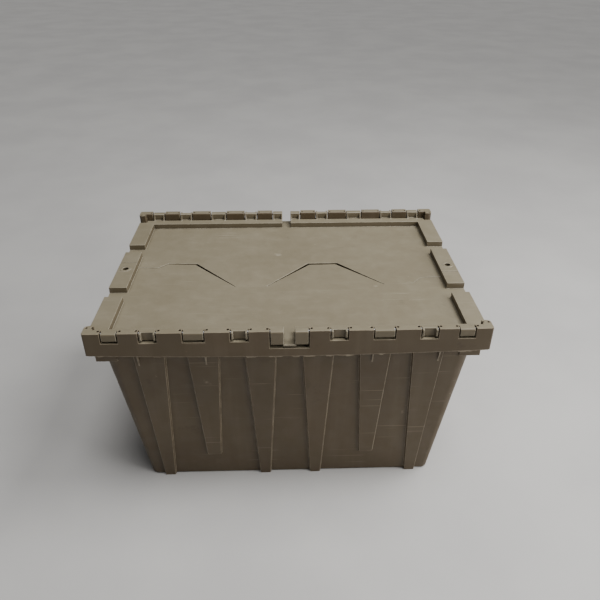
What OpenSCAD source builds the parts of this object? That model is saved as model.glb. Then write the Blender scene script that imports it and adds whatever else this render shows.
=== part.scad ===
// Attached lid tote: a tapered nestable tub whose two long rims carry hinged
// half lids that meet along a zigzag seam. Base centre at the origin, +Z up,
// long sides along X. Millimetres.

/* [Overall size] */
// Length over the rims, along X
tote_l = 714; // [704:1:730]
// Width over the two hinge rims, along Y
tote_w = 523; // [515:1:540]
// Height to the top of the hinge rims, lids shut
tote_h = 396; // [380:1:420]

/* [Tub] */
// Length of the base at the floor
base_l = 586; // [570:1:596]
// Width of the base at the floor
base_w = 428; // [416:1:434]
// Thickness of the moulded walls
wall = 3; // [2.5:0.1:3.5]
// Outward lean of the short end walls, millimetres per millimetre of height
end_lean = 0.139; // [0.12:0.001:0.145]
// Outward lean of the long side walls, millimetres per millimetre of height
side_lean = 0.057; // [0.04:0.001:0.06]
// Corner radius of the tub at the floor
base_r = 12; // [8:1:16]
// Corner radius of the tub under the rim
top_r = 24; // [18:1:28]
// How far the wall ribs stand out
rib_depth = 5; // [3:0.5:6]

/* [Hinge rims] */
// Height of the outer skirt at the two ends of a long side
skirt_h = 46; // [42:1:50]
// How much deeper the skirt hangs halfway along
skirt_bow = 7; // [0:1:10]
// Outer face of the skirt to the hinge axis
axis_in = 9.5; // [9.5:0.1:10]
// Top of the rim down to the hinge axis
axis_down = 6; // [5.5:0.1:6.5]
// Hinge rod diameter
rod_d = 5; // [4.5:0.1:5.2]
// Running clearance on the radius between rod and lid knuckles
rod_clear = 0.08; // [0.05:0.01:0.1]
// Side gap between a lid knuckle and its notch
side_gap = 2; // [1:0.1:2]

/* [Lids] */
// Top of the rim down to the flat lid plate
plate_down = 29; // [28:0.5:30]
// Top of the rim down to the raised lid border
border_down = 16.5; // [16.5:0.1:17]
// Thickness of the lid moulding
lid_t = 3; // [2.5:0.1:3.2]
// Gap between the two lids along the seam
seam_gap = 1.2; // [0.8:0.1:2]
// Reach of the seam tongues either side of the middle
seam_reach = 48; // [40:1:54]
// Seal hole diameter
seal_d = 12; // [8:0.5:13]

/* [Hidden] */
$fn = 48;
eps = 0.01;
hull_fn = 32;
far = 400;           // beyond every face, for cuts that run right through

tub_colour = [0.36, 0.32, 0.25];
lid_colour = [0.55, 0.52, 0.43];
rod_colour = [0.62, 0.63, 0.65];

// Levels
deck_z = tote_h - 36.4;          // top of the ledge inside the hinge rims
wall_top_z = deck_z - 3.5;       // where the tapered walls end under the rims
plate_z = tote_h - plate_down;   // top of the lid plate
border_z = tote_h - border_down; // top of the raised lid border
axis_z = tote_h - axis_down;
axis_y = tote_w / 2 - axis_in;
end_deck_z = plate_z - lid_t - 0.4; // top of the short end rims, just under the lids
skirt_low_z = tote_h - skirt_h;

// Hinge rim section, measured inwards from the outer face
skirt_t = 3.5;
bar_depth = 16;      // depth of the knuckle bar
bar_low = 24;        // knuckle bar height
bar_round = 3.5;     // inner top edge of the knuckle bar
web_t = 3;
notch_down = 21;     // top of the rim to the floor of the small notches
rim_corner_r = 4;
cap_r = 8;           // rounded back corner of a corner cap
cap_return = 27;     // how far a corner cap runs round the end
cap_t = 16;
cap_start = 326.4;

// Notches in the hinge rim, from the middle outwards: start, end, depth
notches = [[70.8, 103.2, notch_down], [146.7, 185.8, notch_down],
    [229.6, 261.2, notch_down], [296.2, cap_start, notch_down]];
middle_notch = 35;
fin_y = 10.5;        // fins in the notches: place, depth and width
fin_d = 2.5;
fin_w = side_gap - 0.8;
drain_d = 3.4;       // slots at the back corners of the notches
drain_in = 2.2;
drain_down = 14;
core_d = 3;          // core holes in the corner caps
core_x = [6.5, 17];
core_y = 20.5;
core_down = 10;
pocket_hole_d = 4;

// Hinge rods: nearest and farthest from the middle
rod_near = 12;
rod_far = 342;

// Lid knuckles: start, end, solid or hollow
solid_knuckles = [notches[1], notches[3]];
hollow_knuckles = [notches[0], notches[2]];
ear_t = 3.4;
ear_recess = 4.8;    // depth of the pocket in a hollow knuckle
tab_in = 10;         // middle tabs, nearest the centre
knuckle_top = 1.6;   // top of the knuckles below the top of the rim
knuckle_low = 13;    // bottom of the small knuckles below the axis
tab_low_z = plate_z - lid_t - 1;

// Lid plan
border_in = 222;     // inner edge of the raised border, from the middle
border_out = tote_w / 2 - bar_depth - 2;
block_in = 321;      // inner edge of the end blocks
block_out = tote_l / 2 - 0.3;
mid_block_y = 77;
outer_block_y = 111;
block_end_y = tote_w / 2 - cap_return - 1.6;
border_x = tote_l / 2 - cap_t - 1.6;
seam_shelf = 28;
seal_x = 340;
boss_h = 0.8;
rib_t = 2.4;         // ribs under the floor and the lids
rib_h = 9;
lid_ribs_y = [-214, -142, -70];
lid_rib_x = 300;
zone_x = block_in - 1;   // the moulding's zones meet just inside the raised parts
zone_y = border_in - 1;

// Hand hold recesses in the short ends
hold_half = 95;
hold_x = 318;
hold_low_z = 236;
hold_slope = 12;     // rise of the recess floor at its two ends
flange_low_z = 317;
flange_out = tote_l / 2 - 6;
flange_half = 235;
flange_web_in = 3;   // clearance from the closing webs to the tub's corner

// Tub base: chamfer round the foot, floor slab and the ribs that it stands on
base_chamfer = 2;
floor_z = 3;
floor_t = 3;
foot_in = 14;        // ends of the floor ribs, in from the edge of the base

// Wall ribs: centre, width at the lowest level, lowest and highest level
long_ribs = [[52.5, 20, 0, wall_top_z], [156.5, 27, 62, wall_top_z], [254, 20, 0, wall_top_z]];
end_ribs = [[52, 20, 0, 222], [160, 20, 0, wall_top_z]];
rib_flare = 0.109;   // gain in rib width per millimetre of height
rib_draft = 1.5;     // how much wider a rib's root is than its face, each side
gussets = [152, 274];
gusset_t = 2.4;
gusset_low_z = 302;

// Half sizes of the tub's outside at a height
function half_l(z) = base_l / 2 + end_lean * z;
function half_w(z) = base_w / 2 + side_lean * z;

// A wall's distance from the middle at the floor, and its lean
side_face = [base_w / 2, side_lean];
end_face = [base_l / 2, end_lean];

// A rib's row on the other side of the middle when s is -1, and the row of the
// hollow inside a rib
function mirrored(row, s) = [s * row[0], row[1], row[2], row[3]];
function hollowed(row) =
    let (low = max(row[2] + wall, floor_z + floor_t), high = row[3] < wall_top_z ? row[3] - wall : row[3])
    [row[0], row[1] + rib_flare * (low - row[2]), low, high];

// Lower edge of a skirt at a place along it: an arc through both ends
function skirt_z(x) = skirt_low_z - skirt_bow * (1 - pow(2 * x / tote_l, 2));

// Rounded rectangle with true arcs, centred
module plan_rect(l, w, r) {
    square([l - 2 * r, w], center = true);
    square([l, w - 2 * r], center = true);
    for (sx = [-1, 1], sy = [-1, 1])
        translate([sx * (l / 2 - r), sy * (w / 2 - r)]) circle(r);
}

// Thin slab of the tub's plan at a height, drawn in by an inset
module tub_slab(z, inset, r) {
    translate([0, 0, z])
        linear_extrude(eps)
            plan_rect(2 * (half_l(z) - inset), 2 * (half_w(z) - inset), max(r - inset, 2), $fn = hull_fn);
}

// Solid of the tub's tapered outside, or of its inside with an inset
module tub_outside() {
    hull() {
        tub_slab(0, base_chamfer, base_r);
        tub_slab(2 * base_chamfer, 0, base_r);
        tub_slab(wall_top_z - eps, 0, top_r);
    }
}

module tub_inside() {
    hull() {
        tub_slab(-1, wall, base_r);
        tub_slab(wall_top_z + 1, wall, top_r);
    }
}

// Plan wedge that holds one end wall and half of each corner at that end
module end_wedge() {
    slope = side_lean / end_lean;
    y0 = base_w / 2 - slope * base_l / 2;
    linear_extrude(wall_top_z)
        polygon([[0, -y0], [far, -y0 - far * slope], [far, y0 + far * slope], [0, y0]]);
}

// Tapered upright prism on the front wall, its faces parallel to it. The row gives
// the rib's centre, width at the floor, lowest and highest level; face gives the
// wall's distance from the middle at the floor and its lean. The prism runs from
// behind the wall's outer face to depth outside it, and grow widens it.
module wall_prism(row, face, behind, depth, grow) {
    low = row[2];
    high = row[3];
    w0 = row[1] / 2 + grow;
    w1 = w0 + rib_flare * (high - low) / 2;
    y0 = face[0] + face[1] * low;
    y1 = face[0] + face[1] * high;
    b = rib_draft;
    x = row[0];
    polyhedron(
        points = [
            [x - w0 - b, -y0 + behind, low], [x + w0 + b, -y0 + behind, low],
            [x + w0, -y0 - depth, low], [x - w0, -y0 - depth, low],
            [x - w1 - b, -y1 + behind, high], [x + w1 + b, -y1 + behind, high],
            [x + w1, -y1 - depth, high], [x - w1, -y1 - depth, high]],
        faces = [[3, 2, 1, 0], [4, 5, 6, 7], [5, 4, 0, 1], [7, 6, 2, 3], [6, 5, 1, 2], [4, 7, 3, 0]]);
}

module tub_floor() {
    color(tub_colour)
        union() {
            intersection() {
                tub_inside();
                block([-far, -far, floor_z], [far, far, floor_z + floor_t]);
            }
            // stiffening ribs under the floor
            for (x = [-200 : 100 : 200])
                block([x - rib_t / 2, foot_in - base_w / 2, 0],
                    [x + rib_t / 2, base_w / 2 - foot_in, floor_z + 1]);
            for (y = [-120 : 80 : 120])
                block([foot_in - base_l / 2, y - rib_t / 2, 0],
                    [base_l / 2 - foot_in, y + rib_t / 2, floor_z + 1]);
        }
}

// Long wall on the front side
module long_wall() {
    difference() {
        union() {
            difference() {
                tub_outside();
                end_wedge();
                rotate([0, 0, 180]) end_wedge();
                block([-far, 0, -1], [far, far, far]);
            }
            for (s = [-1, 1], r = long_ribs)
                wall_prism(mirrored(r, s), side_face, 1, rib_depth, 0);
        }
        tub_inside();
        // the ribs are hollow, open to the inside above the floor
        for (s = [-1, 1], r = long_ribs)
            wall_prism(hollowed(mirrored(r, s)), side_face, wall + 2, rib_depth - wall, -wall);
    }
}

module tub_front_wall() {
    color(tub_colour) long_wall();
}

module tub_back_wall() {
    color(tub_colour) rotate([0, 0, 180]) long_wall();
}

// Section of the hand hold recess, grown by a margin
module hold_section(grow) {
    polygon([[hold_x - grow, hold_low_z + hold_slope - grow], [hold_x - grow, tote_h],
        [far, tote_h], [far, hold_low_z - hold_slope - grow], [hold_x + 8, hold_low_z - grow]]);
}

module hold_block(grow) {
    translate([0, hold_half + grow, 0])
        rotate([90, 0, 0])
            linear_extrude(2 * (hold_half + grow)) hold_section(grow);
}

// Short wall on the right end, with the recess behind the handle
module end_wall() {
    difference() {
        union() {
            intersection() {
                tub_outside();
                end_wedge();
            }
            for (s = [-1, 1], r = end_ribs)
                rotate([0, 0, 90])
                    wall_prism(mirrored(r, s), end_face, 1, rib_depth, 0);
        }
        difference() {
            tub_inside();
            hold_block(wall);
        }
        hold_block(0);
        for (s = [-1, 1], r = end_ribs)
            rotate([0, 0, 90])
                wall_prism(hollowed(mirrored(r, s)), end_face, wall + 2, rib_depth - wall, -wall);
    }
}

module tub_right_wall() {
    color(tub_colour) end_wall();
}

module tub_left_wall() {
    color(tub_colour) rotate([0, 0, 180]) end_wall();
}

// Box given by its lowest and highest corner
module block(a, b) {
    translate(a) cube(b - a);
}

// Skirt of the front rim: a thin upright panel with a bowed lower edge
module skirt() {
    n = 24;
    translate([0, -tote_w / 2 + skirt_t, 0])
        rotate([90, 0, 0])
            linear_extrude(skirt_t)
                polygon(concat(
                    [[tote_l / 2, tote_h], [-tote_l / 2, tote_h]],
                    [for (i = [0 : n]) let (x = -tote_l / 2 + i * tote_l / n) [x, skirt_z(x)]]));
}

// Knuckle bar with its inner top edge rounded, along the whole side
module knuckle_bar() {
    y0 = -tote_w / 2;
    y1 = y0 + bar_depth;
    low = tote_h - bar_low;
    block([-tote_l / 2, y0, low], [tote_l / 2, y1, tote_h - bar_round]);
    block([-tote_l / 2, y0, low], [tote_l / 2, y1 - bar_round, tote_h]);
    translate([-tote_l / 2, y1 - bar_round, tote_h - bar_round])
        rotate([0, 90, 0]) cylinder(r = bar_round, h = tote_l);
}

// Triangular web between the skirt and the face of a wall rib, below the rim
module gusset(x) {
    translate([x - gusset_t / 2, 0, 0])
        rotate([90, 0, 90])
            linear_extrude(gusset_t)
                polygon([
                    [-half_w(gusset_low_z) - rib_depth - eps, gusset_low_z],
                    [-half_w(wall_top_z) - rib_depth - eps, wall_top_z],
                    [-tote_w / 2 + bar_depth, wall_top_z],
                    [-tote_w / 2 + skirt_t, wall_top_z],
                    [-tote_w / 2 + skirt_t, skirt_z(x) + 2]]);
}

// Notch through the knuckle bar and the skirt, with a fin left standing at each
// side that narrows the gap behind the lid knuckle
module notch(a, b, z) {
    y0 = -tote_w / 2;
    block([a, y0 - 1, z], [b, y0 + fin_y, tote_h + 1]);
    block([a + fin_w, y0 + fin_y - 1, z], [b - fin_w, y0 + fin_y + fin_d + 1, tote_h + 1]);
    block([a, y0 + fin_y + fin_d, z], [b, y0 + bar_depth + 1, tote_h + 1]);
}

// Hinge rim of the front side; the back one is the same turned half round
module hinge_rim() {
    y0 = -tote_w / 2;
    y1 = y0 + bar_depth;
    deck_in = -half_w(wall_top_z) + wall;
    difference() {
        intersection() {
            union() {
                skirt();
                knuckle_bar();
                // inner web and deck that join the bar to the tub wall
                block([-tote_l / 2, y1 - web_t, wall_top_z], [tote_l / 2, y1, tote_h - bar_low + 1]);
                block([-tote_l / 2 + 1, y1 - web_t, wall_top_z], [tote_l / 2 - 1, deck_in, deck_z]);
                // floor of the middle pocket
                block([-middle_notch - web_t, y0 + 1, wall_top_z], [middle_notch + web_t, y1, deck_z]);
                for (s = [-1, 1]) {
                    // side walls of the middle pocket
                    block([s * (middle_notch + web_t / 2) - web_t / 2, y0 + 1, wall_top_z],
                        [s * (middle_notch + web_t / 2) + web_t / 2, y1, tote_h - bar_low + 1]);
                    // corner cap that returns round the end
                    block([s * (tote_l / 2 - cap_t / 2) - cap_t / 2, y0, deck_z - 1],
                        [s * (tote_l / 2 - cap_t / 2) + cap_t / 2, y0 + cap_return, tote_h]);
                    // closed end of the rim channel
                    block([s * (tote_l / 2 - web_t / 2) - web_t / 2, y0, skirt_low_z],
                        [s * (tote_l / 2 - web_t / 2) + web_t / 2, y0 + cap_return, deck_z]);
                    for (x = gussets)
                        gusset(s * x);
                }
            }
            linear_extrude(tote_h) plan_rect(tote_l, tote_w, rim_corner_r);
        }
        for (s = [-1, 1]) {
            for (n = notches)
                mirror([s < 0 ? 1 : 0, 0, 0]) notch(n[0], n[1], tote_h - n[2]);
            // small drain slots at the back corners of every notch
            for (n = concat([[middle_notch, middle_notch]], notches), x = [n[0] - drain_in, n[1] + drain_in])
                if (x > middle_notch)
                    translate([s * x, y1 - drain_d, tote_h - drain_down])
                        cylinder(d = drain_d, h = drain_down + 1);
            // paired core holes in the corner caps
            for (x = core_x)
                translate([s * (tote_l / 2 - x), y0 + core_y, tote_h - core_down])
                    cylinder(d = core_d, h = core_down + 1);
            // rounded back corner of each cap
            mirror([s < 0 ? 1 : 0, 0, 0])
                translate([tote_l / 2 - cap_r, y0 + cap_return - cap_r, deck_z])
                    linear_extrude(tote_h)
                        difference() {
                            square(cap_r + 1);
                            circle(r = cap_r);
                        }
            // bore for each hinge rod
            translate([s * (middle_notch - 1), -axis_y, axis_z])
                rotate([0, s * 90, 0]) cylinder(d = rod_d, h = rod_far - middle_notch + 1);
        }
        notch(-middle_notch, middle_notch, deck_z);
        block([-middle_notch, y1 - 1, deck_z], [middle_notch, deck_in + 1, tote_h]);
        // small hole in the middle of the pocket wall
        translate([0, y0 + 6, wall_top_z - 1]) cylinder(d = pocket_hole_d, h = deck_z - wall_top_z + 2);
    }
}

module front_hinge_rim() {
    color(tub_colour) hinge_rim();
}

module back_hinge_rim() {
    color(tub_colour) rotate([0, 0, 180]) hinge_rim();
}

// Where the tub's rounded corner is at a level, at a distance y from the middle
function corner_x(z, y) = half_l(z) - top_r + sqrt(pow(top_r, 2) - pow(y - half_w(z) + top_r, 2));

// Handle rim across the right end, between the two hinge rims
module handle_rim() {
    y1 = half_w(wall_top_z) - wall;
    web_y = flange_half - wall;
    x_wall = half_l(wall_top_z) - wall;
    difference() {
        union() {
            // lip over the end wall, deck and hanging flange
            block([x_wall, -y1, wall_top_z], [x_wall + wall + 0.4, -hold_half, end_deck_z]);
            block([x_wall, hold_half, wall_top_z], [x_wall + wall + 0.4, y1, end_deck_z]);
            block([hold_x - wall, -hold_half - wall, wall_top_z], [hold_x, hold_half + wall, end_deck_z]);
            block([hold_x - wall, -hold_half - wall, end_deck_z - skirt_t],
                [flange_out, hold_half + wall, end_deck_z]);
            block([x_wall, -y1, end_deck_z - skirt_t], [flange_out, y1, end_deck_z]);
            block([flange_out - skirt_t, -y1, flange_low_z], [flange_out, y1, end_deck_z]);
            block([flange_out - skirt_t, -flange_half, flange_low_z], [flange_out, flange_half, wall_top_z]);
            for (s = [-1, 1]) {
                // sides of the recess and closing webs at the flange's ends
                block([hold_x - wall, s * (hold_half + wall / 2) - wall / 2, wall_top_z],
                    [x_wall + 1, s * (hold_half + wall / 2) + wall / 2, end_deck_z]);
                translate([0, s * (flange_half - wall / 2) + wall / 2, 0])
                    rotate([90, 0, 0])
                        linear_extrude(wall)
                            polygon([[corner_x(flange_low_z, web_y) + flange_web_in, flange_low_z],
                                [flange_out, flange_low_z], [flange_out, wall_top_z],
                                [corner_x(wall_top_z, web_y) + flange_web_in, wall_top_z]]);
            }
        }
        translate([seal_x, 0, end_deck_z - 10]) cylinder(d = seal_d, h = 20);
    }
}

module right_handle_rim() {
    color(tub_colour) handle_rim();
}

module left_handle_rim() {
    color(tub_colour) rotate([0, 0, 180]) handle_rim();
}

// Zigzag seam from the left end to the right end, moved in Y by an offset
function seam(dy) = [
    [-block_out, seam_shelf + dy], [-279, seam_shelf + dy], [-259, seam_reach + dy],
    [-199, seam_reach + dy], [-107, -seam_reach + dy], [-46, -seam_reach + dy],
    [46, seam_reach + dy], [107, seam_reach + dy], [199, -seam_reach + dy],
    [259, -seam_reach + dy], [279, -seam_shelf + dy], [block_out, -seam_shelf + dy]];

// Everything on the front lid's side of the seam
module front_of_seam(back) {
    linear_extrude(tote_h + 10)
        polygon(concat(seam(-back), [[block_out, -far], [-block_out, -far]]));
}

// Cross section of a lid knuckle, in Y from the axis and Z from the axis
module knuckle_section(low) {
    f = -axis_in;
    r = 3;
    low_r = 4;
    top = axis_down - knuckle_top;
    out = tote_w / 2 - axis_in - border_out; // border edge, inwards of the axis
    union() {
        // face, with its top and bottom edges rounded
        translate([f + low_r, low + low_r]) circle(low_r);
        translate([f + r, top - r]) circle(r);
        translate([f, low + low_r]) square([low_r, top - low - low_r - r]);
        translate([f + low_r, low]) square([-f - low_r + 2, top - low - r]);
        translate([f + r, low + low_r]) square([-f - r + 2, top - low - low_r]);
        polygon([[1, top], [4, top - 1], [out + 3, border_z - axis_z],
            [out + 3, border_z - axis_z - lid_t], [1, low]]);
    }
}

module knuckle(a, b, low) {
    translate([a, -axis_y, axis_z])
        rotate([90, 0, 90])
            linear_extrude(b - a) knuckle_section(low);
}

// Front half lid; the back one is the same moulding turned half round
module half_lid() {
    low_z = plate_z - lid_t;
    difference() {
        union() {
            intersection() {
                difference() {
                    union() {
                        // flat plate
                        block([-block_out, -block_end_y, low_z], [block_out, tote_w / 2, plate_z]);
                        block([-border_x, -border_out, low_z], [border_x, 0, plate_z]);
                        // raised border along the hinge and blocks at both ends
                        block([-border_x, -border_out, low_z], [border_x, -border_in, border_z]);
                        for (s = [-1, 1]) mirror([s < 0 ? 1 : 0, 0, 0]) {
                            block([block_in, -block_end_y, low_z], [block_out, -outer_block_y, border_z]);
                            block([block_in, -mid_block_y, low_z], [block_out, mid_block_y, border_z]);
                        }
                    }
                    // hollows under the border and the blocks
                    block([-border_x + lid_t, -border_out + lid_t, low_z - 1],
                        [border_x - lid_t, -border_in - lid_t, border_z - lid_t]);
                    for (s = [-1, 1]) mirror([s < 0 ? 1 : 0, 0, 0])
                        block([block_in + lid_t, -block_end_y + lid_t, low_z - 1],
                            [block_out - lid_t, -outer_block_y - lid_t, border_z - lid_t]);
                    difference() {
                        for (s = [-1, 1]) mirror([s < 0 ? 1 : 0, 0, 0])
                            block([block_in + lid_t, -mid_block_y + lid_t, low_z - 1],
                                [block_out - lid_t, mid_block_y, border_z - lid_t]);
                        // wall left standing along the seam, and the boss round the seal hole
                        block([-far, seam_shelf - seam_gap / 2 - lid_t, 0], [0, far, far]);
                        block([0, -seam_shelf - seam_gap / 2 - lid_t, 0], [far, far, far]);
                        translate([-seal_x, 0, 0]) cylinder(d = seal_d + 2 * lid_t, h = tote_h);
                    }
                }
                front_of_seam(seam_gap / 2);
            }
            // rim round the seal hole
            translate([-seal_x, 0, border_z - eps]) cylinder(d = seal_d + 10, h = boss_h);
            // knuckles along the hinge
            for (s = [-1, 1]) mirror([s < 0 ? 1 : 0, 0, 0]) {
                for (k = solid_knuckles)
                    knuckle(k[0] + side_gap, k[1] - side_gap, -knuckle_low);
                for (k = hollow_knuckles)
                    difference() {
                        knuckle(k[0] + side_gap, k[1] - side_gap, -knuckle_low);
                        block([k[0] + side_gap + ear_t, -tote_w / 2 - 1, axis_z - 20],
                            [k[1] - side_gap - ear_t, -tote_w / 2 + ear_recess, tote_h]);
                    }
                // deep tabs either side of the middle slot
                knuckle(tab_in, middle_notch - side_gap, tab_low_z - axis_z);
            }
            // tongue of the plate that runs out through the middle slot
            block([-tab_in - 1, -tote_w / 2, low_z], [tab_in + 1, -border_in, plate_z]);
            // ribs under the plate
            for (x = [-250 : 100 : 250])
                block([x - rib_t / 2, lid_ribs_y[0], low_z - rib_h], [x + rib_t / 2, lid_ribs_y[2], low_z]);
            for (y = lid_ribs_y)
                block([-lid_rib_x, y - rib_t / 2, low_z - rib_h], [lid_rib_x, y + rib_t / 2, low_z]);
        }
        // middle slot through the border, down to the plate
        block([-tab_in, -tote_w / 2 - 1, plate_z], [tab_in, -border_in + 1, tote_h]);
        block([-tab_in, -border_out - 1, low_z - 1], [tab_in, -border_out, low_z]);
        // bores for the hinge rods
        for (s = [-1, 1])
            translate([s * (rod_near - 1), -axis_y, axis_z])
                rotate([0, s * 90, 0])
                    cylinder(d = rod_d + 2 * rod_clear, h = rod_far - rod_near);
        // seal hole
        translate([-seal_x, 0, low_z - 5]) cylinder(d = seal_d, h = 30);
    }
}

// Zones of the lid moulding, which meet face to face: the seam panel between the end
// blocks, the border with the knuckles, and the ends with the raised blocks
module lid_panel() {
    color(lid_colour)
        intersection() {
            half_lid();
            block([-zone_x, -zone_y, 0], [zone_x, far, far]);
        }
}

module lid_border() {
    color(lid_colour)
        intersection() {
            half_lid();
            block([-far, -far, 0], [far, -zone_y, far]);
        }
}

module lid_end(s) {
    color(lid_colour)
        intersection() {
            half_lid();
            block([s < 0 ? -far : zone_x, -zone_y, 0], [s < 0 ? -zone_x : far, far, far]);
        }
}

module front_lid_panel() { lid_panel(); }
module front_lid_border() { lid_border(); }
module front_lid_left_end() { lid_end(-1); }
module front_lid_right_end() { lid_end(1); }
module back_lid_panel() { rotate([0, 0, 180]) lid_panel(); }
module back_lid_border() { rotate([0, 0, 180]) lid_border(); }
module back_lid_left_end() { rotate([0, 0, 180]) lid_end(1); }
module back_lid_right_end() { rotate([0, 0, 180]) lid_end(-1); }

// One half-length rod: sy picks the side, sx the half
module hinge_rod(sx, sy) {
    color(rod_colour)
        translate([sx * rod_near, sy * axis_y, axis_z])
            rotate([0, sx * 90, 0]) cylinder(d = rod_d, h = rod_far - rod_near);
}

module hinge_rod_front_left() { hinge_rod(-1, -1); }
module hinge_rod_front_right() { hinge_rod(1, -1); }
module hinge_rod_back_left() { hinge_rod(-1, 1); }
module hinge_rod_back_right() { hinge_rod(1, 1); }

tub_floor();
tub_front_wall();
tub_back_wall();
tub_left_wall();
tub_right_wall();
front_hinge_rim();
back_hinge_rim();
left_handle_rim();
right_handle_rim();
front_lid_panel();
front_lid_border();
front_lid_left_end();
front_lid_right_end();
back_lid_panel();
back_lid_border();
back_lid_left_end();
back_lid_right_end();
hinge_rod_front_left();
hinge_rod_front_right();
hinge_rod_back_left();
hinge_rod_back_right();
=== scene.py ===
from math import cos, radians, sin, sqrt
from random import Random

import bmesh
import bpy
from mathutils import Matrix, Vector
from mathutils.bvhtree import BVHTree


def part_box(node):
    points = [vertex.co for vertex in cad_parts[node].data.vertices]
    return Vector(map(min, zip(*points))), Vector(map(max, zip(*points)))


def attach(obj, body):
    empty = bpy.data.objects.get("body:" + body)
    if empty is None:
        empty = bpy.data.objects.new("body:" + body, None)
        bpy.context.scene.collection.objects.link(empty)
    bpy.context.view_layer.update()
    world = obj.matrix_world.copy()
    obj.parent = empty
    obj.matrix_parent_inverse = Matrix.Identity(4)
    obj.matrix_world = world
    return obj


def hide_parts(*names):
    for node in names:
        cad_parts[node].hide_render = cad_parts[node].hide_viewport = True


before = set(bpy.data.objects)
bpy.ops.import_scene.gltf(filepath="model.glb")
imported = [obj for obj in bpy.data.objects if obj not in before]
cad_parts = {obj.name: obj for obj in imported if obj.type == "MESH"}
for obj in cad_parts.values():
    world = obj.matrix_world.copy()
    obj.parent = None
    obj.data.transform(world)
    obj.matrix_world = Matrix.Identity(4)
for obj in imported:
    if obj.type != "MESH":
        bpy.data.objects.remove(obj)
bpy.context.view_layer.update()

# ---------------------------------------------------------------- sizes, in millimetres
MM = 0.001


def box_mm(node):
    low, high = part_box(node)
    return low / MM, high / MM


rim_low, rim_high = box_mm("front_hinge_rim")
HALF_L = rim_high.x                     # half the length over the rims
HALF_W = -rim_low.y                     # half the width over the hinge rims
TOP = rim_high.z                        # top of the hinge rims
WALL_TOP = box_mm("tub_front_wall")[1].z
END_DECK = box_mm("right_handle_rim")[1].z
FLANGE_OUT = box_mm("right_handle_rim")[1].x
FLOOR_TOP = box_mm("tub_floor")[1].z
PLATE = box_mm("front_lid_panel")[1].z  # top of the lid plate
BORDER = box_mm("front_lid_right_end")[1].z
LID_HALF_L = box_mm("front_lid_right_end")[1].x
rod_low, rod_high = box_mm("hinge_rod_front_right")
ROD_NEAR, ROD_FAR = rod_low.x, rod_high.x
ROD_R = (rod_high.z - rod_low.z) / 2
AXIS_Y, AXIS_Z = (rod_low.y + rod_high.y) / 2, (rod_low.z + rod_high.z) / 2

# Tub: half sizes at the floor, the walls' lean, corner radii and wall thickness
BASE_HALF_L, BASE_HALF_W = 293, 214
END_LEAN, SIDE_LEAN = 0.139, 0.057
BASE_R, TOP_R = 12, 24
WALL = 3
FOOT_CHAMFER = 2
DECK = TOP - 36.4            # ledge inside the hinge rims

# Wall ribs: centre, width at the lowest level, lowest and highest level
LONG_RIBS = [(52.5, 20, 0, WALL_TOP), (156.5, 27, 62, WALL_TOP), (254, 20, 0, WALL_TOP)]
END_RIBS = [(52, 20, 0, 222), (160, 20, 0, WALL_TOP)]
RIB_DEPTH, RIB_FLARE, RIB_DRAFT = 5, 0.109, 1.5
FOOT_IN = 14                 # ends of the ribs under the floor, in from the edge
THIN = 2.4                   # ribs under the floor and the lids, and the gussets

# Hinge rims
SKIRT_T, SKIRT_H, SKIRT_BOW = 3.5, 46, 7
BAR_DEPTH, BAR_H, BAR_R = 16, 24, 3.5
WEB = 3
CORNER_R = 4
CAP_RETURN, CAP_T, CAP_R = 27, 16, 8
NOTCHES = [(70.8, 103.2), (146.7, 185.8), (229.6, 261.2), (296.2, 326.4)]
NOTCH_DOWN = 21
POCKET = 35                  # half width of the middle notch
FIN_Y, FIN_D, FIN_W = 10.5, 2.5, 1.2
GUSSETS, GUSSET_LOW = (152, 274), 302
DRAIN_R, DRAIN_IN, DRAIN_Y, DRAIN_DOWN = 2.3, 3.4, 9.2, 14   # holes beside the notches
CORES, CORE_R, CORE_Y, CORE_DOWN = (5, 14.8), 2, 20.5, 10    # core holes in the corner caps
MID_DRAIN_R, MID_DRAIN_Y = 2, 6                              # hole in the middle notch's floor

# Hand holds and the rims over them
HOLD_HALF, HOLD_X, HOLD_LOW, HOLD_SLOPE = 95, 318, 236, 12
FLANGE_LOW, FLANGE_HALF = 317, 235
FLANGE_WEB_IN = (312, 322)   # where the closing webs run into the tub, low and high
SEAL_X, SEAL_R = 340, 6

# Lids
LID_T = 3
CLEAR = 1.6                  # between a lid's ends and the corner caps
BORDER_IN, BORDER_OUT, BORDER_X = 222, HALF_W - BAR_DEPTH - 2, HALF_L - CAP_T - CLEAR
BLOCK_IN, MID_BLOCK_Y, OUTER_BLOCK_Y = 321, 77, 111
BLOCK_END_Y = HALF_W - CAP_RETURN - CLEAR
SHELF, REACH, GAP = 28, 48, 1.2
SLANT_GAP = 3.8              # extra gap along the seam's slanting stretches
SIDE_GAP, EAR, EAR_RECESS = 2.2, 3.4, 6.3
TAB_IN = 10
KNUCKLE_LOW = 12.4           # a knuckle's bottom, below the axis
KNUCKLE_DOWN = 1.6           # its top, below the rim's
ROD_GAP = 0.08               # between it and the rod
KNUCKLE_BACK = 4.8           # recess behind a knuckle, inwards of the axis
BACK_CUT = 3.5               # how far that recess runs into the border
LID_RIBS_Y, LID_RIB_X, LID_RIB_H = (-214, -142, -70), 300, 9
SEAL_RING, SEAL_RING_H = 5, 0.8   # raised ring round a seal hole
SAG = 7.5                    # how far the lids sag in the middle


# ---------------------------------------------------------------- solids
def prism(axis, outline, low, high):
    """An outline swept along an axis; it gives the other two coordinates in their order."""
    place = {
        "x": lambda p, d: (d, p[0], p[1]),
        "y": lambda p, d: (p[0], d, p[1]),
        "z": lambda p, d: (p[0], p[1], d),
    }[axis]
    return loft([[place(p, low) for p in outline], [place(p, high) for p in outline]])


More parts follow.
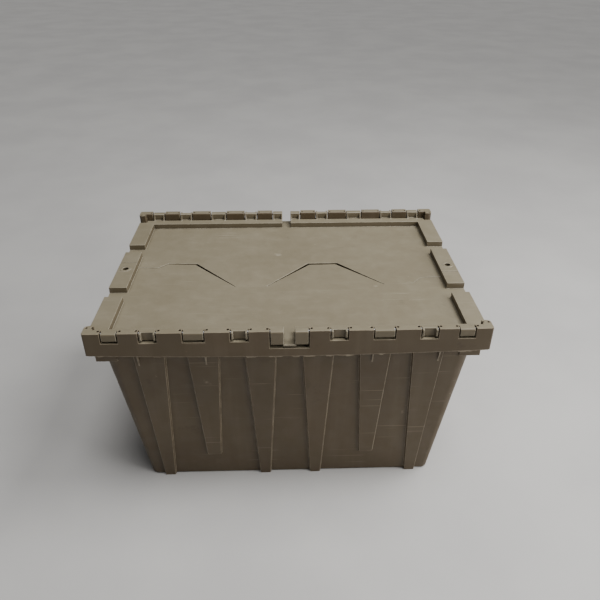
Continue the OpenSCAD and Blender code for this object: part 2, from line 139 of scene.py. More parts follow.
def loft(rings):
    """A closed solid through rings of equally many points."""
    n = len(rings[0])
    verts = [p for ring in rings for p in ring]
    faces = [list(range(n)), list(range(len(verts) - n, len(verts)))]
    for k in range(len(rings) - 1):
        for i in range(n):
            j = (i + 1) % n
            faces.append([k * n + i, k * n + j, (k + 1) * n + j, (k + 1) * n + i])
    return verts, faces


def block(a, b):
    """A box between any two opposite corners."""
    (x0, x1), (y0, y1), (z0, z1) = (sorted(pair) for pair in zip(a, b))
    return prism("z", [(x0, y0), (x1, y0), (x1, y1), (x0, y1)], z0, z1)


def arc(centre, radius, start, end, steps):
    """Points of an arc, in degrees, both ends included."""
    turns = [radians(start + (end - start) * i / steps) for i in range(steps + 1)]
    return [(centre[0] + radius * cos(t), centre[1] + radius * sin(t)) for t in turns]


def cylinder(axis, centre, radius, low, high, steps=40):
    return prism(axis, arc(centre, radius, 0, 360 * (1 - 1 / steps), steps - 1), low, high)


def rounded_plan(half_x, half_y, radius, steps=10):
    corners = [(1, 1, 0), (-1, 1, 90), (-1, -1, 180), (1, -1, 270)]
    return [
        p
        for sx, sy, turn in corners
        for p in arc((sx * (half_x - radius), sy * (half_y - radius)), radius, turn, turn + 90, steps)
    ]


def moved(shape, change):
    return [change(*p) for p in shape[0]], shape[1]


def turned(shape):
    """The same solid turned half round the vertical axis."""
    return moved(shape, lambda x, y, z: (-x, -y, z))


def mirrored(shape):
    return moved(shape, lambda x, y, z: (-x, y, z))


def both_ends(shape):
    return together(shape, mirrored(shape))


def both_sides(shape):
    return together(shape, turned(shape))


def together(*shapes):
    """Several solids that don't touch, as one."""
    verts, faces = [], []
    for shape_verts, shape_faces in shapes:
        faces += [[i + len(verts) for i in face] for face in shape_faces]
        verts += shape_verts
    return verts, faces


def solid(name, shape):
    """A mesh object of a shape, in millimetres until finish_moulding."""
    mesh = bpy.data.meshes.new(name)
    mesh.from_pydata(shape[0], [], shape[1])
    bm = bmesh.new()
    bm.from_mesh(mesh)
    bmesh.ops.recalc_face_normals(bm, faces=bm.faces)
    bm.to_mesh(mesh)
    bm.free()
    obj = bpy.data.objects.new(name, mesh)
    bpy.context.scene.collection.objects.link(obj)
    return obj


def apply_modifiers(obj):
    depsgraph = bpy.context.evaluated_depsgraph_get()
    mesh = bpy.data.meshes.new_from_object(obj.evaluated_get(depsgraph))
    old = obj.data
    obj.modifiers.clear()
    obj.data = mesh
    bpy.data.meshes.remove(old)


def combine(obj, shape, operation):
    tool = shape if isinstance(shape, bpy.types.Object) else solid("tool", shape)
    boolean = obj.modifiers.new("boolean", "BOOLEAN")
    boolean.solver = "MANIFOLD"
    boolean.operation = operation
    boolean.object = tool
    apply_modifiers(obj)
    bpy.data.meshes.remove(tool.data)


def add(obj, *shapes):
    for shape in shapes:
        combine(obj, shape, "UNION")


def cut(obj, *shapes):
    for shape in shapes:
        combine(obj, shape, "DIFFERENCE")


# ---------------------------------------------------------------- tub
def wall_ring(z, inset, radius):
    plan = rounded_plan(
        BASE_HALF_L + END_LEAN * z - inset, BASE_HALF_W + SIDE_LEAN * z - inset, max(radius - inset, 2)
    )
    return [(x, y, z) for x, y in plan]


def rib(row, face, behind, depth, grow=0):
    """A tapered upright rib on the front wall, from behind its outer face to depth outside."""
    x, width, low, high = row
    rings = []
    for z, half in ((low, width / 2 + grow), (high, width / 2 + grow + RIB_FLARE * (high - low) / 2)):
        y = face[0] + face[1] * z
        root = half + RIB_DRAFT
        rings.append([
            (x - root, behind - y, z), (x + root, behind - y, z),
            (x + half, -depth - y, z), (x - half, -depth - y, z),
        ])
    return loft(rings)


def hollow_row(row):
    x, width, low, high = row
    inside_low = max(low + WALL, FLOOR_TOP)
    inside_high = high if high >= WALL_TOP else high - WALL
    return x, width + RIB_FLARE * (inside_low - low), inside_low, inside_high


def rib_sets(rows, face, as_hollow=False):
    """All ribs of a wall, on both sides of its middle."""
    shapes = []
    for row in rows:
        if as_hollow:
            shape = rib(hollow_row(row), face, WALL + 2, RIB_DEPTH - WALL, -WALL)
        else:
            shape = rib(row, face, 1, RIB_DEPTH)
        shapes.append(both_ends(shape))
    return together(*shapes)


def quarter(shape):
    """Turned from the front side to the right end."""
    return moved(shape, lambda x, y, z: (-y, x, z))


def hold(grow, top):
    outline = [
        (HOLD_X - grow, HOLD_LOW + HOLD_SLOPE - grow), (HOLD_X - grow, top), (HALF_L + 20, top),
        (HALF_L + 20, HOLD_LOW - HOLD_SLOPE - grow), (HOLD_X + 8, HOLD_LOW - grow),
    ]
    return prism("y", outline, -HOLD_HALF - grow, HOLD_HALF + grow)


def skirt_low(x):
    return TOP - SKIRT_H - SKIRT_BOW * (1 - (x / HALF_L) ** 2)


def hinge_rim():
    """The front hinge rim as one solid."""
    y0, y1 = -HALF_W, -HALF_W + BAR_DEPTH
    deck_in = -(BASE_HALF_W + SIDE_LEAN * WALL_TOP) + WALL
    steps = 48
    edge = [HALF_L * (2 * i / steps - 1) for i in range(steps + 1)]
    rim = solid("rim", prism("y", [(HALF_L, TOP), (-HALF_L, TOP)] + [(x, skirt_low(x)) for x in edge],
                             y0, y0 + SKIRT_T))
    bar = [(y0, TOP - BAR_H), (y1, TOP - BAR_H)]
    bar += arc((y1 - BAR_R, TOP - BAR_R), BAR_R, 0, 90, 6) + [(y0, TOP)]
    add(rim, prism("x", bar, -HALF_L, HALF_L))
    add(rim, block((-HALF_L, y1 - WEB, WALL_TOP), (HALF_L, y1, TOP - BAR_H + 1)))
    add(rim, block((1 - HALF_L, y1 - WEB, WALL_TOP), (HALF_L - 1, deck_in, DECK)))
    add(rim, block((-POCKET - WEB, y0 + 1, WALL_TOP), (POCKET + WEB, y1, DECK)))
    add(rim, both_ends(block((POCKET, y0 + 1, WALL_TOP), (POCKET + WEB, y1, TOP - BAR_H + 1))))
    add(rim, both_ends(block((HALF_L - CAP_T, y0, DECK - 1), (HALF_L, y0 + CAP_RETURN, TOP))))
    add(rim, both_ends(block((HALF_L - WEB, y0, TOP - SKIRT_H), (HALF_L, y0 + CAP_RETURN, DECK))))
    for x in GUSSETS:
        outline = [
            (1 - BASE_HALF_W - SIDE_LEAN * z - RIB_DEPTH, z)
            for z in (GUSSET_LOW, WALL_TOP + 1)
        ] + [(y1 - WEB - 1, WALL_TOP + 1)]
        add(rim, both_ends(prism("x", outline, x - THIN / 2, x + THIN / 2)))
    combine(rim, prism("z", rounded_plan(HALF_L, HALF_W, CORNER_R), 0, TOP), "INTERSECT")
    x, y = HALF_L - CAP_R, y0 + CAP_RETURN - CAP_R
    corner = [(x, y + CAP_R + 1)] + arc((x, y), CAP_R, 90, 0, 8)
    corner += [(HALF_L + 1, y), (HALF_L + 1, y + CAP_R + 1)]
    cut(rim, both_ends(prism("z", corner, DECK, TOP + 1)))
    for a, b in [(-POCKET, POCKET)] + NOTCHES:
        z = TOP - NOTCH_DOWN if a > 0 else DECK
        for shape in (
            block((a, y0 - 1, z), (b, y0 + FIN_Y, TOP + 1)),
            block((a + FIN_W, y0 + FIN_Y - 1, z), (b - FIN_W, y0 + FIN_Y + FIN_D + 1, TOP + 1)),
            block((a, y0 + FIN_Y + FIN_D, z), (b, y1 + 1, TOP + 1)),
        ):
            cut(rim, both_ends(shape) if a > 0 else shape)
    for x in [POCKET + DRAIN_IN] + [x for a, b in NOTCHES for x in (a - DRAIN_IN, b + DRAIN_IN)]:
        cut(rim, both_ends(cylinder("z", (x, y0 + DRAIN_Y), DRAIN_R, TOP - DRAIN_DOWN, TOP + 1, 16)))
    for x in CORES:
        cut(rim, both_ends(cylinder("z", (HALF_L - x, y0 + CORE_Y), CORE_R, TOP - CORE_DOWN, TOP + 1, 16)))
    cut(rim, cylinder("z", (0, y0 + MID_DRAIN_Y), MID_DRAIN_R, WALL_TOP - 1, DECK + 1, 16))
    cut(rim, both_ends(cylinder("x", (AXIS_Y, AXIS_Z), ROD_R, POCKET - 1, ROD_FAR, 24)))
    return rim


def handle_rims():
    """Both handle rims, as shapes in the order they are added."""
    y1 = BASE_HALF_W + SIDE_LEAN * WALL_TOP - WALL
    x_wall = BASE_HALF_L + END_LEAN * WALL_TOP - WALL
    low = WALL_TOP - 1
    high = WALL_TOP + 2
    x_low, x_high = FLANGE_WEB_IN
    web = [(x_low, FLANGE_LOW), (FLANGE_OUT, FLANGE_LOW), (FLANGE_OUT, high), (x_high, high)]
    return [
        together(*(block((x_wall, s * y1, low), (x_wall + WALL, s * HOLD_HALF, END_DECK)) for s in (-1, 1))),
        block((HOLD_X - WALL, -HOLD_HALF - WALL, low), (HOLD_X, HOLD_HALF + WALL, END_DECK)),
        together(*(
            block((HOLD_X - WALL, s * HOLD_HALF, low), (x_wall + 1, s * (HOLD_HALF + WALL), END_DECK))
            for s in (-1, 1)
        )),
        block((HOLD_X - WALL, -HOLD_HALF - WALL, END_DECK - SKIRT_T),
              (FLANGE_OUT, HOLD_HALF + WALL, END_DECK)),
        block((x_wall, -y1, END_DECK - SKIRT_T), (FLANGE_OUT, y1, END_DECK)),
        block((FLANGE_OUT - SKIRT_T, -y1, FLANGE_LOW), (FLANGE_OUT, y1, END_DECK)),
        block((FLANGE_OUT - SKIRT_T, -FLANGE_HALF, FLANGE_LOW), (FLANGE_OUT, FLANGE_HALF, high)),
        prism("y", web, y1, FLANGE_HALF),
        prism("y", web, -FLANGE_HALF, -y1),
    ]


def tub_moulding():
    rings = [(0, FOOT_CHAMFER, BASE_R), (2 * FOOT_CHAMFER, 0, BASE_R), (WALL_TOP, 0, TOP_R)]
    tub = solid("tub_moulding", loft([wall_ring(*ring) for ring in rings]))
    side, end = (BASE_HALF_W, SIDE_LEAN), (BASE_HALF_L, END_LEAN)
    add(tub, both_sides(rib_sets(LONG_RIBS, side)), both_sides(quarter(rib_sets(END_RIBS, end))))
    room = [wall_ring(FLOOR_TOP, WALL, BASE_R), wall_ring(WALL_TOP + 1, WALL, TOP_R)]
    inside = solid("inside", loft(room))
    cut(inside, both_sides(hold(WALL, TOP)))
    combine(tub, inside, "DIFFERENCE")
    cut(tub, both_sides(hold(0, TOP)))
    cut(tub, both_sides(rib_sets(LONG_RIBS, side, True)))
    cut(tub, both_sides(quarter(rib_sets(END_RIBS, end, True))))
    under = [wall_ring(-1, WALL + FOOT_CHAMFER, BASE_R), wall_ring(FLOOR_TOP - WALL, WALL, BASE_R)]
    cut(tub, loft(under))
    foot_x, foot_y = BASE_HALF_L - FOOT_IN, BASE_HALF_W - FOOT_IN
    add(tub, together(*(block((x - THIN / 2, -foot_y, 0), (x + THIN / 2, foot_y, 4))
                        for x in range(-200, 201, 100))))
    add(tub, together(*(block((-foot_x, y - THIN / 2, 0), (foot_x, y + THIN / 2, 4))
                        for y in range(-120, 121, 80))))
    for shape in handle_rims():
        add(tub, both_sides(shape))
    cut(tub, both_sides(cylinder("z", (SEAL_X, 0), SEAL_R, END_DECK - 10, END_DECK + 10)))
    front = hinge_rim()
    back = solid("rim", turned(mesh_shape(front)))
    combine(tub, front, "UNION")
    combine(tub, back, "UNION")
    return tub


def rim_flash(seed):
    """The thin ragged burr that the mould left along the lower edge of the front skirt."""
    random = Random(seed)
    steps = 300
    drops = [random.uniform(0.1, 0.5) for _ in range(steps + 1)]
    for _ in range(14):
        middle, reach, drop = random.randint(8, steps - 8), random.randint(1, 4), random.uniform(1.5, 3.4)
        for i in range(max(0, middle - reach), min(steps, middle + reach) + 1):
            drops[i] = max(drops[i], drop * random.uniform(0.5, 1))
    reach_x = HALF_L - CORNER_R
    rings = []
    for i, drop in enumerate(drops):
        x = reach_x * (2 * i / steps - 1)
        z = skirt_low(x)
        rings.append([(x, 0.15 - HALF_W, z + 1.5), (x, 0.15 - HALF_W, z - drop), (x, 0.9 - HALF_W, z + 0.6)])
    return loft(rings)


def mesh_shape(obj):
    return [tuple(v.co) for v in obj.data.vertices], [list(p.vertices) for p in obj.data.polygons]


# ---------------------------------------------------------------- lids
def knuckle(a, b, low, low_r=5.5):
    """A lid knuckle between two places along the hinge; low is its bottom from the axis."""
    face, r = AXIS_Y + HALF_W, 3
    top = TOP - KNUCKLE_DOWN - AXIS_Z
    inner = AXIS_Y + BORDER_OUT - 3
    slope_z = BORDER - AXIS_Z
    outline = [(2, low)]
    outline += arc((low_r - face, low + low_r), low_r, 270, 180, 5)
    outline += arc((r - face, top - r), r, 180, 90, 5)
    outline += [(1, top), (4, top - 1), (-inner, slope_z), (-inner, slope_z - LID_T)]
    return prism("x", [(AXIS_Y + y, AXIS_Z + z) for y, z in outline], a, b)


def seam():
    """The front lid's edge along the zigzag seam, from the left end to the right one."""
    shift, narrow = -GAP / 2, SLANT_GAP / 2
    return [
        (-LID_HALF_L - 5, SHELF + shift), (-279, SHELF + shift), (-259, REACH + shift),
        (-199 - narrow, REACH + shift), (-107 - narrow, shift - REACH), (-46 + narrow, shift - REACH),
        (46 + narrow, REACH + shift), (107 - narrow, REACH + shift), (199 - narrow, shift - REACH),
        (259, shift - REACH), (279, shift - SHELF), (LID_HALF_L + 5, shift - SHELF),
    ]


def lid_moulding(name):
    """The front half lid, one moulding."""
    low = PLATE - LID_T
    lid = solid(name, block((-LID_HALF_L, -BLOCK_END_Y, low), (LID_HALF_L, HALF_W, PLATE)))
    add(lid, block((-BORDER_X, -BORDER_OUT, low), (BORDER_X, 0, PLATE)))
    add(lid, block((-BORDER_X, -BORDER_OUT, low), (BORDER_X, -BORDER_IN, BORDER)))
    add(lid, both_ends(block((BLOCK_IN, -BLOCK_END_Y, low), (LID_HALF_L, -OUTER_BLOCK_Y, BORDER))))
    add(lid, both_ends(block((BLOCK_IN, -MID_BLOCK_Y, low), (LID_HALF_L, MID_BLOCK_Y, BORDER))))
    # hollows under the raised parts
    t, roof = LID_T, BORDER - LID_T
    cut(lid, block((t - BORDER_X, t - BORDER_OUT, low - 1), (BORDER_X - t, -BORDER_IN - t, roof)))
    cut(lid, both_ends(block((BLOCK_IN + t, t - BLOCK_END_Y, low - 1),
                             (LID_HALF_L - t, -OUTER_BLOCK_Y - t, roof))))
    for s, end_y in ((-1, SHELF), (1, -SHELF)):
        cut(lid, block((s * (BLOCK_IN + t), t - MID_BLOCK_Y, low - 1),
                       (s * (LID_HALF_L - t), end_y - GAP / 2 - t, roof)))
    add(lid, cylinder("z", (-SEAL_X, 0), SEAL_R + t, low, BORDER))
    combine(lid, prism("z", seam() + [(HALF_L + 5, -HALF_W - 5), (-HALF_L - 5, -HALF_W - 5)], 0, TOP + 9),
            "INTERSECT")
    add(lid, cylinder("z", (-SEAL_X, 0), SEAL_R + SEAL_RING, BORDER - 1, BORDER + SEAL_RING_H))
    # knuckles, the tabs either side of the middle and the tongue between them
    for k, (a, b) in enumerate(NOTCHES):
        add(lid, both_ends(knuckle(a + SIDE_GAP, b - SIDE_GAP, -KNUCKLE_LOW)))
        cut(lid, both_ends(block((a + SIDE_GAP + EAR, AXIS_Y + KNUCKLE_BACK, BORDER),
                                 (b - SIDE_GAP - EAR, BACK_CUT - BORDER_OUT, TOP))))
        if k in (0, 2):
            cut(lid, both_ends(block((a + SIDE_GAP + EAR, -HALF_W - 1, AXIS_Z - 20),
                                     (b - SIDE_GAP - EAR, EAR_RECESS - HALF_W, TOP))))
    add(lid, both_ends(knuckle(TAB_IN, POCKET - SIDE_GAP, low + 0.5 - AXIS_Z, 7)))
    cut(lid, both_ends(block((TAB_IN + EAR, AXIS_Y + KNUCKLE_BACK, BORDER),
                             (POCKET - SIDE_GAP - EAR, BACK_CUT - BORDER_OUT, TOP))))
    add(lid, block((-TAB_IN - 1, -HALF_W, low), (TAB_IN + 1, -BORDER_IN, PLATE)))
    # ribs underneath
    rib_low = low - LID_RIB_H
    add(lid, together(*(block((x - THIN / 2, LID_RIBS_Y[0], rib_low), (x + THIN / 2, LID_RIBS_Y[2], low + 1))
                        for x in range(-250, 251, 100))))
    add(lid, together(*(block((-LID_RIB_X, y - THIN / 2, rib_low), (LID_RIB_X, y + THIN / 2, low + 1))
                        for y in LID_RIBS_Y)))
    cut(lid, block((-TAB_IN, -HALF_W - 1, PLATE), (TAB_IN, 1 - BORDER_IN, TOP)))
    cut(lid, both_ends(cylinder("x", (AXIS_Y, AXIS_Z), ROD_R + ROD_GAP, ROD_NEAR - 1, ROD_FAR - 1, 24)))
    cut(lid, cylinder("z", (-SEAL_X, 0), SEAL_R, low - 5, TOP))
    return lid


def lid_sag(x, y):
    """How far the front lid hangs below its flat level at a place, in millimetres: more
    the farther it is from its hinge, and nothing at the ends, where it rests on the tub."""
    across = max(0, 1 - (x / BLOCK_IN) ** 2)
    reach = max(0, 1 + y / BORDER_IN)
    return SAG * across * reach ** 0.85


def let_sag(obj, cell=20):
    """Cuts the plate into cells and lets it sag between its raised edges."""
    bm = bmesh.new()
    bm.from_mesh(obj.data)
    for axis, reach in ((0, BLOCK_IN), (1, BORDER_IN)):
        count = int(reach / cell)
        for i in range(-count, count + 1):
            place, normal = [0, 0, 0], [0, 0, 0]
            place[axis], normal[axis] = i * reach / count, 1
            geometry = bm.verts[:] + bm.edges[:] + bm.faces[:]
            bmesh.ops.bisect_plane(bm, geom=geometry, dist=1e-4, plane_co=place, plane_no=normal)
    for v in bm.verts:
        if v.co.z < PLATE + 1:
            v.co.z -= lid_sag(v.co.x, v.co.y)
    bm.to_mesh(obj.data)
    bm.free()


# ---------------------------------------------------------------- rounded edges
ROUNDING = 0.8   # radius of the mouldings' edges
SHARED, ALONE = 0.43, 0.85   # share of a gap that one of two roundings takes, or a single one
BESIDE = 0.8   # share of an unrounded edge that the rounding at its end takes
ACROSS, OFF_LINE = 0.6, 0.05   # sine from which a rounded edge at a corner counts, or another one
LEAST = 0.02   # the smallest rounding
CREASE = 55   # an edge still sharper than this after the rounding is shaded as an edge
STRAY = 0.8   # a corner this many radii off the sharp shape goes back onto it


def edge_room(edge, sharp, radius):
    """How far an edge's rounding may reach before it meets something else."""
    room = radius
    for v in edge.verts:
        along = (edge.other_vert(v).co - v.co).normalized()
        for other in v.link_edges:
            if other is not edge:
                way = (other.other_vert(v).co - v.co).normalized()
                aside = sqrt(max(0, 1 - along.dot(way) ** 2))
                if aside > ACROSS or (other not in sharp and aside > OFF_LINE):
                    room = min(room, aside * other.calc_length() * (SHARED if other in sharp else BESIDE))
    start, way = edge.verts[0].co, edge.verts[1].co - edge.verts[0].co
    for face in edge.link_faces:
        for other in face.edges:
            if set(other.verts) & set(edge.verts):
                continue
            share = SHARED if other in sharp else ALONE
            a, b = other.verts[0].co, other.verts[1].co - other.verts[0].co
            for point, base, line in (
                (a, start, way), (a + b, start, way), (start, a, b), (start + way, a, b),
            ):
                part = (point - base).dot(line) / line.length_squared
                if 0 < part < 1:
                    room = min(room, share * (base + part * line - point).length)
    return max(room, LEAST)


def round_edges(obj, radius, sharp_angle=40):
    """Rounds every sharp edge, less where the parts beside it are thin, and marks the
    rounded faces in an attribute that makes them paler: wear on the edges, and a painted highlight where
    edges catch the light. Where unequal roundings meet, some corners still fold:
    putting a stray corner back removes its spike, and not the folded faces."""
    bm = bmesh.new()
    bm.from_mesh(obj.data)
    bmesh.ops.remove_doubles(bm, verts=bm.verts, dist=0.02)
    bmesh.ops.dissolve_degenerate(bm, edges=bm.edges, dist=0.02)
    bmesh.ops.dissolve_limit(bm, angle_limit=radians(0.5), verts=bm.verts, edges=bm.edges)
    weight = bm.edges.layers.float.new("bevel_weight_edge")
    sharp = {e for e in bm.edges if len(e.link_faces) == 2 and e.calc_face_angle(0) > radians(sharp_angle)}
    for e in sharp:
        e[weight] = min(1, edge_room(e, sharp, radius) / radius)
    for face in bm.faces:
        face.smooth = True
    bm.to_mesh(obj.data)
    surface = BVHTree.FromBMesh(bm)
    bm.free()
    bevel = obj.modifiers.new("rounding", "BEVEL")
    bevel.limit_method = "WEIGHT"
    bevel.width = radius
    bevel.segments = 2
    bevel.use_clamp_overlap = False
    bevel.material = 1
    obj.data.materials.append(None)
    obj.data.materials.append(None)
    apply_modifiers(obj)
    mesh = obj.data
    bm = bmesh.new()
    bm.from_mesh(mesh)
    for v in bm.verts:   # a corner where unequal roundings meet may overshoot
        place, _, _, distance = surface.find_nearest(v.co)
        if distance > STRAY * radius:
            v.co = place
    for e in bm.edges:
        e.smooth = len(e.link_faces) == 2 and e.calc_face_angle(0) < radians(CREASE)
    bm.to_mesh(mesh)
    bm.free()
    # pale rounded faces: wear, and a painted highlight on edges that catch the light
    wear_and_painted_highlight = mesh.attributes.new("wear_and_painted_highlight", "FLOAT", "FACE")
    for polygon in mesh.polygons:
        wear_and_painted_highlight.data[polygon.index].value = polygon.material_index
        polygon.material_index = 0
    mesh.materials.clear()


def paint_gusset_highlights(obj):
    """The gussets under the skirts are painted pale all over: a painted highlight on their thin lit front
    edges.
    """
    wear_and_painted_highlight = obj.data.attributes["wear_and_painted_highlight"]
    for polygon in obj.data.polygons:
        x, y, z = polygon.center
        if any(abs(abs(x) - at) < THIN for at in GUSSETS) and GUSSET_LOW < z < WALL_TOP:
            if abs(y) > BASE_HALF_W + SIDE_LEAN * z + RIB_DEPTH + 0.2 and abs(y) < HALF_W - SKIRT_T:
                wear_and_painted_highlight.data[polygon.index].value = 1


def finish_moulding(obj, material, body, nodes):
    """Turns a moulding to metres, shades it and puts it in the CAD zones' place."""
    for v in obj.data.vertices:
        v.co *= MM
    obj.data.materials.append(material)
    normals = obj.modifiers.new("flat faces", "WEIGHTED_NORMAL")
    normals.keep_sharp = True
    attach(obj, body)
    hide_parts(*nodes)


# ---------------------------------------------------------------- materials
class Painter:
    """Adds nodes to a material. A setting's value is a number, a colour or another socket."""

    def __init__(self, name):
        self.material = bpy.data.materials.new(name)
        self.material.use_nodes = True
        self.tree = self.material.node_tree
        self.shader = self.tree.nodes["Principled BSDF"]
        self.place = self.tree.nodes.new("ShaderNodeTexCoord")

    def put(self, socket, value):
        if isinstance(value, bpy.types.NodeSocket):
            self.tree.links.new(value, socket)
        else:
            socket.default_value = value

    def node(self, kind, inputs, **settings):
        made = self.tree.nodes.new("ShaderNode" + kind)
        for name, value in settings.items():
            setattr(made, name, value)
        for name, value in inputs.items():
            self.put(made.inputs[name], value)
        return made

    def math(self, operation, a, b=0.0):
        return self.node("Math", {0: a, 1: b}, operation=operation).outputs[0]

    def noise(self, scale, detail=4, rough=0.55, stretch=(1, 1, 1), turn=(0, 0, 0), seed=0):
        """Noise in the object's own space. Scale is in features per metre."""
        mapping = self.node("Mapping", {
            "Vector": self.place.outputs["Object"], "Scale": stretch, "Rotation": turn,
            "Location": (seed * 1.7, seed * 2.3, seed * 0.9),
        })
        return self.node("TexNoise", {
            "Vector": mapping.outputs[0], "Scale": scale, "Detail": detail, "Roughness": rough,
        }).outputs[0]

    def ramp(self, value, low, high, to=(0, 1)):
        """The value between low and high, spread smoothly over the range to."""
        return self.node("MapRange", {
            "Value": value, "From Min": low, "From Max": high, "To Min": to[0], "To Max": to[1],
        }, interpolation_type="SMOOTHSTEP").outputs[0]

    def mix(self, factor, under, over):
        made = self.node("Mix", {}, data_type="RGBA")
        self.put(made.inputs[0], factor)
        for socket, value in ((made.inputs[6], under), (made.inputs[7], over)):
            self.put(socket, value if isinstance(value, bpy.types.NodeSocket) else (*value, 1))
        return made.outputs[2]

    def bump(self, height, strength, distance, under=None):
        inputs = {"Height": height, "Strength": strength, "Distance": distance}
        if under is not None:
            inputs["Normal"] = under
        return self.node("Bump", inputs).outputs[0]


def scratches(paint):
    """Sets of fine scratches, each in its own direction, where patches of noise allow."""
    total = None
    for i, turn in enumerate((0.35, 1.15, 2.2, 2.85)):
        lines = paint.noise(60, 2, 0.5, (0.06, 5, 5), (0, 0, turn), seed=i + 1)
        lines = paint.ramp(lines, 0.66, 0.72)
        patch = paint.ramp(paint.noise(7, 2, 0.5, seed=i + 11), 0.55, 0.68)
        lines = paint.math("MULTIPLY", lines, patch)
        total = lines if total is None else paint.math("MAXIMUM", total, lines)
    return total


def used_plastic(name, tones, pale_wear_and_highlight_tone, dust, streaks, lit_top_tones):
    """Grained polyethylene that has been in use: two tones that drift over the surface, a
    paler pair on what faces up as painted light, with the upright faces in darker tones as painted shade,
    dust there, scuffs, stains, painted shade in the corners and creases, and pale edges: wear, and a painted
    highlight where edges catch the light."""
    paint = Painter(name)
    facing = paint.node("SeparateXYZ", {0: paint.place.outputs["Normal"]}).outputs[2]
    # painted light and shade: faces that point up take the paler top tones, upright faces keep the darker
    # ones
    upward = paint.ramp(facing, 0.7, 0.98)
    drift = paint.ramp(paint.noise(5, 3), 0.35, 0.65)
    colour = paint.mix(drift, tones[0], tones[1])
    colour = paint.mix(upward, colour, paint.mix(drift, lit_top_tones[0], lit_top_tones[1]))
    mottle = paint.ramp(paint.noise(70, 6, 0.65), 0.3, 0.7, (0, 0.08))
    colour = paint.mix(mottle, colour, tones[2])
    streak = paint.ramp(paint.noise(40, 3, 0.5, (1, 1, 0.06)), 0.45, 0.75, (0, streaks))
    colour = paint.mix(streak, colour, pale_wear_and_highlight_tone)
    film = paint.ramp(paint.noise(15, 9, 0.66, (1, 1.5, 1), seed=3), 0.42, 0.8, (0, dust))
    colour = paint.mix(paint.math("MULTIPLY", film, upward), colour, pale_wear_and_highlight_tone)
    smudge = paint.ramp(paint.noise(24, 5, 0.6, (1, 1.8, 1), seed=5), 0.66, 0.78, (0, 0.4))
    patch = paint.ramp(paint.noise(5, 2, 0.5, seed=6), 0.5, 0.62)
    smudge = paint.math("MULTIPLY", smudge, patch)
    colour = paint.mix(smudge, colour, pale_wear_and_highlight_tone)
    lines = scratches(paint)
    colour = paint.mix(paint.math("MULTIPLY", lines, 0.3), colour, pale_wear_and_highlight_tone)
    stain = paint.ramp(paint.noise(16, 7, 0.7, seed=8), 0.6, 0.78, (0, 0.35))
    colour = paint.mix(stain, colour, tones[3])
    # painted shade: the colour goes towards the darkest tone in corners, creases and recesses, found by
    # ambient occlusion
    shade = paint.node("AmbientOcclusion", {"Distance": 0.012}, samples=8, only_local=True)
    painted_crease_shade = paint.ramp(shade.outputs["AO"], 0.85, 0.3, (0, 0.75))
    colour = paint.mix(painted_crease_shade, colour, tones[3])
    # pale rounded edges: wear, and a painted highlight on lit edges such as the notch sills and the gussets
    edge = paint.node("Attribute", {}, attribute_name="wear_and_painted_highlight").outputs["Fac"]
    rubbed_and_highlit = paint.ramp(paint.noise(60, 5, 0.7, seed=9), 0.3, 0.65, (0.15, 0.6))
    rubbed_and_highlit = paint.math("MULTIPLY", edge, rubbed_and_highlit)
    colour = paint.mix(rubbed_and_highlit, colour, pale_wear_and_highlight_tone)
    rough = paint.ramp(paint.noise(35, 4, seed=4), 0.3, 0.7, (0.46, 0.6))
    rough = paint.math("SUBTRACT", rough, paint.math("MULTIPLY", rubbed_and_highlit, 0.2))
    rough = paint.math("ADD", rough, paint.math("MULTIPLY", stain, 0.3))
    grain = paint.bump(paint.noise(1400, 2), 0.12, 0.0004)
    waves = paint.bump(paint.noise(9, 2), 0.25, 0.004, grain)
    normal = paint.bump(lines, -0.25, 0.0004, waves)
    paint.put(paint.shader.inputs["Base Color"], colour)
    paint.put(paint.shader.inputs["Roughness"], rough)
    paint.put(paint.shader.inputs["Normal"], normal)
    return paint.material


def drawn_steel(name):
    """Zinc-grey wire with fine drawing marks along it."""
    paint = Painter(name)
    marks = paint.noise(500, 3, 0.6, (0.02, 1, 1))
    dull = paint.ramp(paint.noise(60, 4), 0.4, 0.7)
    paint.put(paint.shader.inputs["Base Color"], paint.mix(dull, (0.42, 0.42, 0.43), (0.24, 0.22, 0.2)))
    paint.put(paint.shader.inputs["Roughness"], paint.ramp(marks, 0.3, 0.7, (0.25, 0.5)))
    paint.put(paint.shader.inputs["Normal"], paint.bump(marks, 0.2, 0.0002))
    paint.shader.inputs["Metallic"].default_value = 1
    return paint.material


def floor_paint(name):
    paint = Painter(name)
    tone = paint.ramp(paint.noise(2.5, 5), 0.3, 0.7)
    paint.put(paint.shader.inputs["Base Color"], paint.mix(tone, (0.48, 0.47, 0.455), (0.53, 0.52, 0.5)))
    paint.shader.inputs["Roughness"].default_value = 0.75
    return paint.material


# One plastic for lids and tub: the paler top tones are painted light and the darker upright tones painted
# shade. The tub's upright tones are darker and warmer still, painted shade and brown bounce light on its
# walls under the rims. The last tone of each set is the colour for stains and for the painted shade in
# corners.
LIT_TOP_TONES = [(0.208, 0.178, 0.118), (0.225, 0.195, 0.132)]
LID_TONES = [(0.135, 0.108, 0.065), (0.15, 0.12, 0.073), (0.12, 0.095, 0.055), (0.05, 0.038, 0.02)]
TUB_TONES = [(0.086, 0.061, 0.032), (0.097, 0.069, 0.036), (0.073, 0.051, 0.026), (0.03, 0.02, 0.01)]
lid_plastic = used_plastic("lid_plastic", LID_TONES, (0.44, 0.4, 0.31), 0.12, 0.05, LIT_TOP_TONES)
tub_plastic = used_plastic("tub_plastic", TUB_TONES, (0.36, 0.3, 0.21), 0.16, 0.05, LIT_TOP_TONES)
steel = drawn_steel("rod_steel")

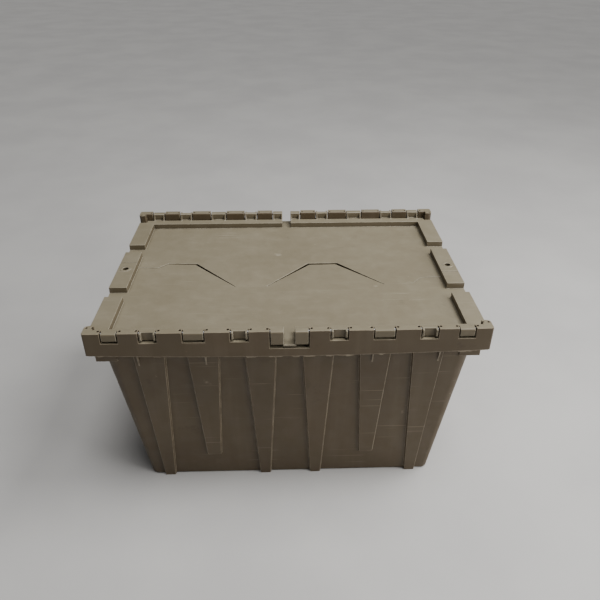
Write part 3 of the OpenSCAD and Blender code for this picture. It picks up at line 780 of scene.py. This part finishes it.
# ---------------------------------------------------------------- pieces
ZONES = ("panel", "border", "left_end", "right_end")
tub = tub_moulding()
round_edges(tub, ROUNDING)
paint_gusset_highlights(tub)
tub_nodes = [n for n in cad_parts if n.startswith("tub_") or n.endswith("_rim")]
finish_moulding(tub, tub_plastic, "tub", tub_nodes)
for name, shape in (("front_rim_flash", rim_flash(4)), ("back_rim_flash", turned(rim_flash(9)))):
    flash = solid(name, shape)
    for v in flash.data.vertices:
        v.co *= MM
    flash.data.materials.append(tub_plastic)
    wear_and_painted_highlight = flash.data.attributes.new("wear_and_painted_highlight", "FLOAT", "FACE")
    wear_and_painted_highlight.data.foreach_set("value", [1.0] * len(flash.data.polygons))
    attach(flash, "tub")
front = lid_moulding("front_lid_moulding")
round_edges(front, ROUNDING)
let_sag(front)
back = solid("back_lid_moulding", ([], []))
back.data = front.data.copy()
for v in back.data.vertices:
    v.co = (-v.co.x, -v.co.y, v.co.z)
finish_moulding(front, lid_plastic, "lid_front", [f"front_lid_{z}" for z in ZONES])
finish_moulding(back, lid_plastic, "lid_back", [f"back_lid_{z}" for z in ZONES])
for name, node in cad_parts.items():
    if name.startswith("hinge_rod"):
        node.data.materials.clear()
        node.data.materials.append(steel)

# ---------------------------------------------------------------- camera, floor and lights
camera_data = bpy.data.cameras.new("camera")
camera_data.lens = 35.22
camera_data.sensor_width = 36
camera = bpy.data.objects.new("camera", camera_data)
bpy.context.scene.collection.objects.link(camera)
camera.location = (-0.00825, -1.0901, 0.97646)
camera.rotation_euler = (radians(58.054), radians(-0.118), radians(-1.741))
bpy.context.scene.camera = camera

bpy.ops.mesh.primitive_plane_add(size=80)
floor = bpy.context.object
floor.name = "floor"
floor.data.materials.append(floor_paint("floor_paint"))


def area_light(name, at, target, size, power):
    data = bpy.data.lights.new(name, "AREA")
    data.size = size
    data.energy = power
    light = bpy.data.objects.new(name, data)
    bpy.context.scene.collection.objects.link(light)
    light.location = at
    light.rotation_euler = (Vector(target) - Vector(at)).to_track_quat("-Z", "Y").to_euler()


area_light("right", (1.5, 0, 2.6), (0, 0, 0.3), 1.2, 60)
area_light("front_right", (1.8, -1, 1.1), (0, 0, 0.3), 1, 24)
sun_data = bpy.data.lights.new("ceiling", "SUN")
sun_data.energy = 1.75
sun_data.angle = radians(28)
sun = bpy.data.objects.new("ceiling", sun_data)
bpy.context.scene.collection.objects.link(sun)
sun.rotation_euler = Vector((-0.1, 0.12, -1)).to_track_quat("-Z", "Y").to_euler()
world = bpy.data.worlds.new("world")
world.use_nodes = True
world.node_tree.nodes["Background"].inputs[0].default_value = (0.96, 0.96, 1, 1)
world.node_tree.nodes["Background"].inputs[1].default_value = 0.08
bpy.context.scene.world = world
